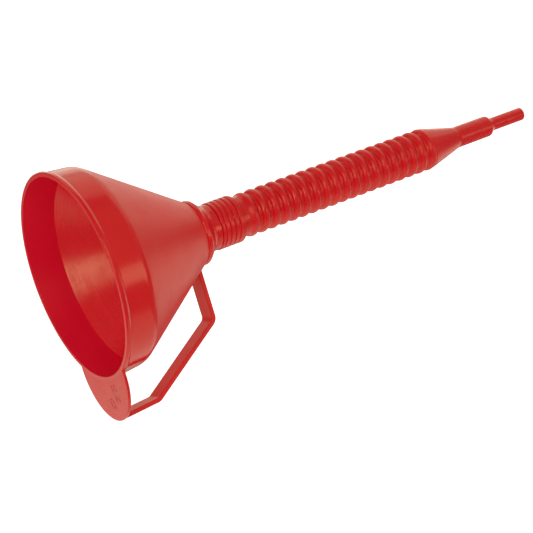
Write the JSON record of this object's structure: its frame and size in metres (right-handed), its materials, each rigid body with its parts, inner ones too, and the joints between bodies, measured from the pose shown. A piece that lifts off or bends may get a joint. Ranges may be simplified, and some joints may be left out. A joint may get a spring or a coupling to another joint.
{
  "type": "funnel",
  "caption": "Moulded hand funnel with a screw-on flexible corrugated spout, tapered nozzle, hanging tab, strap handle and drop-in strainer.",
  "frame": {"origin": "on the funnel's axis, at the rounded collar ledge under the cone, where the bowl rests in a filler opening", "axes": "+Z along the axis towards the mouth, +X towards the hanging tab and strap handle"},
  "size_m": [0.1914, 0.16, 0.4385],
  "materials": {
    "bowl_plastic": "satin moulded polyethylene, red",
    "spout_plastic": "semi-gloss blow-moulded polyethylene, red",
    "strainer_plastic": "satin moulded polyethylene, red",
    "gauze": "fine woven wire gauze"
  },
  "bodies": {
    "root": {"bowl_band": "bowl_plastic", "bowl_cone": "bowl_plastic", "bowl_collar": "bowl_plastic", "bowl_neck": "bowl_plastic", "hanging_tab": "bowl_plastic", "strap_handle": "bowl_plastic"},
    "strainer": {"strainer_ring": "strainer_plastic", "strainer_gauze": "gauze"},
    "spout_cuff": {"spout_cuff": "spout_plastic"},
    "spout_ring_01": {"spout_ring_01": "spout_plastic"},
    "spout_ring_02": {"spout_ring_02": "spout_plastic"},
    "spout_ring_03": {"spout_ring_03": "spout_plastic"},
    "spout_ring_04": {"spout_ring_04": "spout_plastic"},
    "spout_ring_05": {"spout_ring_05": "spout_plastic"},
    "spout_ring_06": {"spout_ring_06": "spout_plastic"},
    "spout_ring_07": {"spout_ring_07": "spout_plastic"},
    "spout_ring_08": {"spout_ring_08": "spout_plastic"},
    "spout_ring_09": {"spout_ring_09": "spout_plastic"},
    "spout_ring_10": {"spout_ring_10": "spout_plastic"},
    "spout_ring_11": {"spout_ring_11": "spout_plastic"},
    "spout_ring_12": {"spout_ring_12": "spout_plastic"},
    "spout_ring_13": {"spout_ring_13": "spout_plastic"},
    "spout_ring_14": {"spout_ring_14": "spout_plastic"},
    "spout_ring_15": {"spout_ring_15": "spout_plastic"},
    "spout_ring_16": {"spout_ring_16": "spout_plastic"},
    "spout_ring_17": {"spout_ring_17": "spout_plastic"},
    "spout_ring_18": {"spout_ring_18": "spout_plastic"},
    "spout_nozzle": {"spout_nozzle": "spout_plastic", "nozzle_tube": "spout_plastic", "nozzle_tip": "spout_plastic"}
  },
  "joints": [
    {"name": "strainer_lift", "type": "slide", "parent": "root", "child": "strainer", "axis": [0, 0, 1], "range_m": [0, 0.115]},
    {"name": "spout_unscrew", "type": "hinge", "parent": "root", "child": "spout_cuff", "pos_m": [0, 0, -0.0165], "axis": [0, 0, 1], "range_deg": [0, 720]},
    {"name": "spout_bend_01", "type": "hinge", "parent": "spout_cuff", "child": "spout_ring_01", "pos_m": [0, 0, -0.0431], "axis": [1, 0, 0], "range_deg": [-9, 9], "stiffness_Nm_per_rad": 0.9},
    {"name": "spout_bend_02", "type": "hinge", "parent": "spout_ring_01", "child": "spout_ring_02", "pos_m": [0, 0, -0.0529], "axis": [0, 1, 0], "range_deg": [-9, 9], "stiffness_Nm_per_rad": 0.9},
    {"name": "spout_bend_03", "type": "hinge", "parent": "spout_ring_02", "child": "spout_ring_03", "pos_m": [0, 0, -0.0627], "axis": [1, 0, 0], "range_deg": [-9, 9], "stiffness_Nm_per_rad": 0.9},
    {"name": "spout_bend_04", "type": "hinge", "parent": "spout_ring_03", "child": "spout_ring_04", "pos_m": [0, 0, -0.0725], "axis": [0, 1, 0], "range_deg": [-9, 9], "stiffness_Nm_per_rad": 0.9},
    {"name": "spout_bend_05", "type": "hinge", "parent": "spout_ring_04", "child": "spout_ring_05", "pos_m": [0, 0, -0.0823], "axis": [1, 0, 0], "range_deg": [-9, 9], "stiffness_Nm_per_rad": 0.9},
    {"name": "spout_bend_06", "type": "hinge", "parent": "spout_ring_05", "child": "spout_ring_06", "pos_m": [0, 0, -0.0921], "axis": [0, 1, 0], "range_deg": [-9, 9], "stiffness_Nm_per_rad": 0.9},
    {"name": "spout_bend_07", "type": "hinge", "parent": "spout_ring_06", "child": "spout_ring_07", "pos_m": [0, 0, -0.1019], "axis": [1, 0, 0], "range_deg": [-9, 9], "stiffness_Nm_per_rad": 0.9},
    {"name": "spout_bend_08", "type": "hinge", "parent": "spout_ring_07", "child": "spout_ring_08", "pos_m": [0, 0, -0.1117], "axis": [0, 1, 0], "range_deg": [-9, 9], "stiffness_Nm_per_rad": 0.9},
    {"name": "spout_bend_09", "type": "hinge", "parent": "spout_ring_08", "child": "spout_ring_09", "pos_m": [0, 0, -0.1215], "axis": [1, 0, 0], "range_deg": [-9, 9], "stiffness_Nm_per_rad": 0.9},
    {"name": "spout_bend_10", "type": "hinge", "parent": "spout_ring_09", "child": "spout_ring_10", "pos_m": [0, 0, -0.1313], "axis": [0, 1, 0], "range_deg": [-9, 9], "stiffness_Nm_per_rad": 0.9},
    {"name": "spout_bend_11", "type": "hinge", "parent": "spout_ring_10", "child": "spout_ring_11", "pos_m": [0, 0, -0.1411], "axis": [1, 0, 0], "range_deg": [-9, 9], "stiffness_Nm_per_rad": 0.9},
    {"name": "spout_bend_12", "type": "hinge", "parent": "spout_ring_11", "child": "spout_ring_12", "pos_m": [0, 0, -0.1509], "axis": [0, 1, 0], "range_deg": [-9, 9], "stiffness_Nm_per_rad": 0.9},
    {"name": "spout_bend_13", "type": "hinge", "parent": "spout_ring_12", "child": "spout_ring_13", "pos_m": [0, 0, -0.1607], "axis": [1, 0, 0], "range_deg": [-9, 9], "stiffness_Nm_per_rad": 0.9},
    {"name": "spout_bend_14", "type": "hinge", "parent": "spout_ring_13", "child": "spout_ring_14", "pos_m": [0, 0, -0.1705], "axis": [0, 1, 0], "range_deg": [-9, 9], "stiffness_Nm_per_rad": 0.9},
    {"name": "spout_bend_15", "type": "hinge", "parent": "spout_ring_14", "child": "spout_ring_15", "pos_m": [0, 0, -0.1803], "axis": [1, 0, 0], "range_deg": [-9, 9], "stiffness_Nm_per_rad": 0.9},
    {"name": "spout_bend_16", "type": "hinge", "parent": "spout_ring_15", "child": "spout_ring_16", "pos_m": [0, 0, -0.1901], "axis": [0, 1, 0], "range_deg": [-9, 9], "stiffness_Nm_per_rad": 0.9},
    {"name": "spout_bend_17", "type": "hinge", "parent": "spout_ring_16", "child": "spout_ring_17", "pos_m": [0, 0, -0.1999], "axis": [1, 0, 0], "range_deg": [-9, 9], "stiffness_Nm_per_rad": 0.9},
    {"name": "spout_bend_18", "type": "hinge", "parent": "spout_ring_17", "child": "spout_ring_18", "pos_m": [0, 0, -0.2097], "axis": [0, 1, 0], "range_deg": [-9, 9], "stiffness_Nm_per_rad": 0.9},
    {"name": "spout_bend_19", "type": "hinge", "parent": "spout_ring_18", "child": "spout_nozzle", "pos_m": [0, 0, -0.2195], "axis": [1, 0, 0], "range_deg": [-9, 9], "stiffness_Nm_per_rad": 0.9}
  ],
  "couplings": [
    {"joint": "spout_bend_03", "follows": "spout_bend_01", "ratio": 1},
    {"joint": "spout_bend_04", "follows": "spout_bend_02", "ratio": 1},
    {"joint": "spout_bend_05", "follows": "spout_bend_01", "ratio": 1},
    {"joint": "spout_bend_06", "follows": "spout_bend_02", "ratio": 1},
    {"joint": "spout_bend_07", "follows": "spout_bend_01", "ratio": 1},
    {"joint": "spout_bend_08", "follows": "spout_bend_02", "ratio": 1},
    {"joint": "spout_bend_09", "follows": "spout_bend_01", "ratio": 1},
    {"joint": "spout_bend_10", "follows": "spout_bend_02", "ratio": 1},
    {"joint": "spout_bend_11", "follows": "spout_bend_01", "ratio": 1},
    {"joint": "spout_bend_12", "follows": "spout_bend_02", "ratio": 1},
    {"joint": "spout_bend_13", "follows": "spout_bend_01", "ratio": 1},
    {"joint": "spout_bend_14", "follows": "spout_bend_02", "ratio": 1},
    {"joint": "spout_bend_15", "follows": "spout_bend_01", "ratio": 1},
    {"joint": "spout_bend_16", "follows": "spout_bend_02", "ratio": 1},
    {"joint": "spout_bend_17", "follows": "spout_bend_01", "ratio": 1},
    {"joint": "spout_bend_18", "follows": "spout_bend_02", "ratio": 1},
    {"joint": "spout_bend_19", "follows": "spout_bend_01", "ratio": 1}
  ]
}
